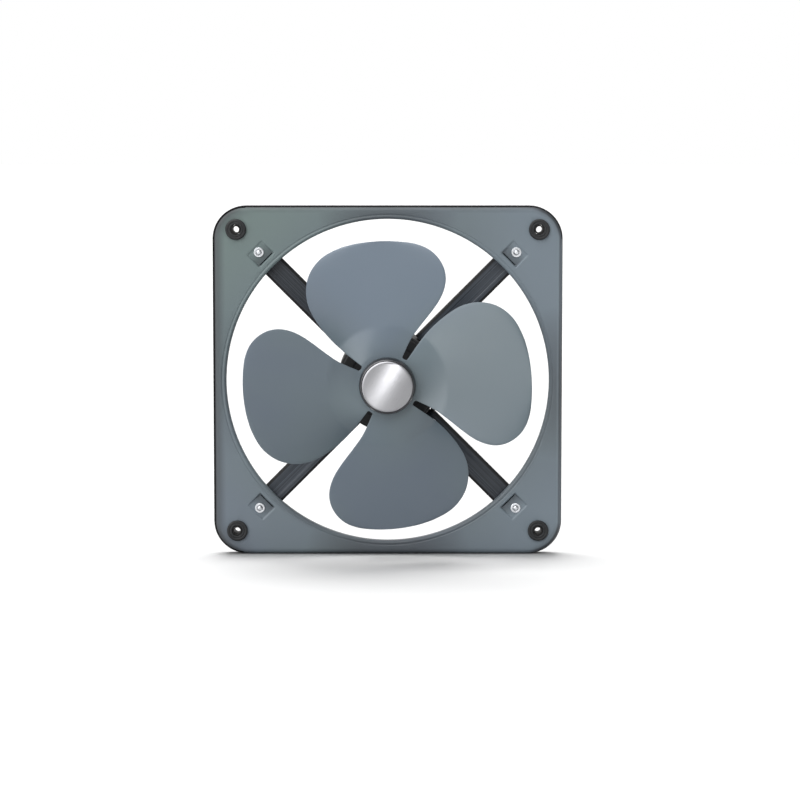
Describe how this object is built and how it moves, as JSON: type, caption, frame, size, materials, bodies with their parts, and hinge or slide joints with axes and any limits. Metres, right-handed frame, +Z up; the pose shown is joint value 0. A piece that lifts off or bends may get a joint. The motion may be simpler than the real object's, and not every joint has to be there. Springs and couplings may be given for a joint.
{
  "type": "exhaust hood fan",
  "caption": "Square-panel axial exhaust fan: pressed panel with a round inlet, an enclosed motor on cross arms, a stamped blade wheel with a polished hub cap and rubber corner bushes.",
  "frame": {"origin": "on the shaft axis, in the wall plane on which the four corner bushes rest", "axes": "+Y along the shaft towards the wall and the outlet side, +Z up, blades and the room at -Y"},
  "size_m": [0.37, 0.1619, 0.37],
  "materials": {
    "panel_grey": "satin blue-grey enamel",
    "blade_grey": "satin blue-grey enamel",
    "gloss_black": "gloss black enamel",
    "motor_black": "black enamel",
    "rubber": "matt black rubber",
    "zinc_steel": "bright zinc plate",
    "dark_steel": "oiled steel",
    "chrome": "polished",
    "cast_aluminium": "as cast",
    "core_steel": "varnished laminations",
    "copper": "enamelled copper wire",
    "black_plastic": "moulded",
    "grey_plastic": "moulded",
    "sleeving": "braided sleeving"
  },
  "bodies": {
    "frame": {"frame_panel": "panel_grey", "corner_bush_top_left": "rubber", "bush_sleeve_top_left": "dark_steel", "motor_arm_top_left": "gloss_black", "panel_screw_top_left": "zinc_steel", "motor_screw_top_left": "zinc_steel", "corner_bush_top_right": "rubber", "bush_sleeve_top_right": "dark_steel", "motor_arm_top_right": "gloss_black", "panel_screw_top_right": "zinc_steel", "motor_screw_top_right": "zinc_steel", "corner_bush_bottom_left": "rubber", "bush_sleeve_bottom_left": "dark_steel", "motor_arm_bottom_left": "gloss_black", "panel_screw_bottom_left": "zinc_steel", "motor_screw_bottom_left": "zinc_steel", "corner_bush_bottom_right": "rubber", "bush_sleeve_bottom_right": "dark_steel", "motor_arm_bottom_right": "gloss_black", "panel_screw_bottom_right": "zinc_steel", "motor_screw_bottom_right": "zinc_steel", "motor_front_shield": "motor_black", "motor_housing": "motor_black", "motor_rear_shield": "motor_black", "motor_bolt_1": "dark_steel", "motor_bolt_2": "dark_steel", "motor_bolt_3": "dark_steel", "motor_bolt_4": "dark_steel", "stator_core": "core_steel", "stator_winding": "copper", "motor_leads": "sleeving", "front_bearing_outer_race": "dark_steel", "rear_bearing_outer_race": "dark_steel", "bearing_wave_washer": "zinc_steel", "terminal_box": "black_plastic", "terminal_box_cover": "black_plastic", "box_cover_screw_left": "zinc_steel", "box_cover_screw_right": "zinc_steel", "terminal_block": "grey_plastic", "capacitor": "black_plastic", "cable_gland": "black_plastic", "gland_nut": "black_plastic", "earth_screw": "zinc_steel"},
    "impeller": {"blade_wheel": "blade_grey", "impeller_hub": "cast_aluminium", "hub_rivet_1": "dark_steel", "hub_rivet_2": "dark_steel", "hub_rivet_3": "dark_steel", "hub_rivet_4": "dark_steel", "hub_set_screw": "dark_steel", "shaft_washer": "zinc_steel", "shaft_nut": "zinc_steel", "hub_cap": "chrome", "shaft": "dark_steel", "rotor_core": "core_steel", "front_bearing_inner_race": "dark_steel", "rear_bearing_inner_race": "dark_steel"},
    "front_cage": {"front_bearing_cage": "zinc_steel"},
    "rear_cage": {"rear_bearing_cage": "zinc_steel"}
  },
  "joints": [
    {"name": "impeller_spin", "type": "hinge", "parent": "frame", "child": "impeller", "pos_m": [0, -0.082, 0], "axis": [0, 1, 0], "continuous": true},
    {"name": "front_cage_roll", "type": "hinge", "parent": "frame", "child": "front_cage", "pos_m": [0, -0.04, 0], "axis": [0, 1, 0], "continuous": true},
    {"name": "rear_cage_roll", "type": "hinge", "parent": "frame", "child": "rear_cage", "pos_m": [0, 0.0459, 0], "axis": [0, 1, 0], "continuous": true}
  ],
  "couplings": [
    {"joint": "front_cage_roll", "follows": "impeller_spin", "ratio": 0.385},
    {"joint": "rear_cage_roll", "follows": "impeller_spin", "ratio": 0.385}
  ]
}
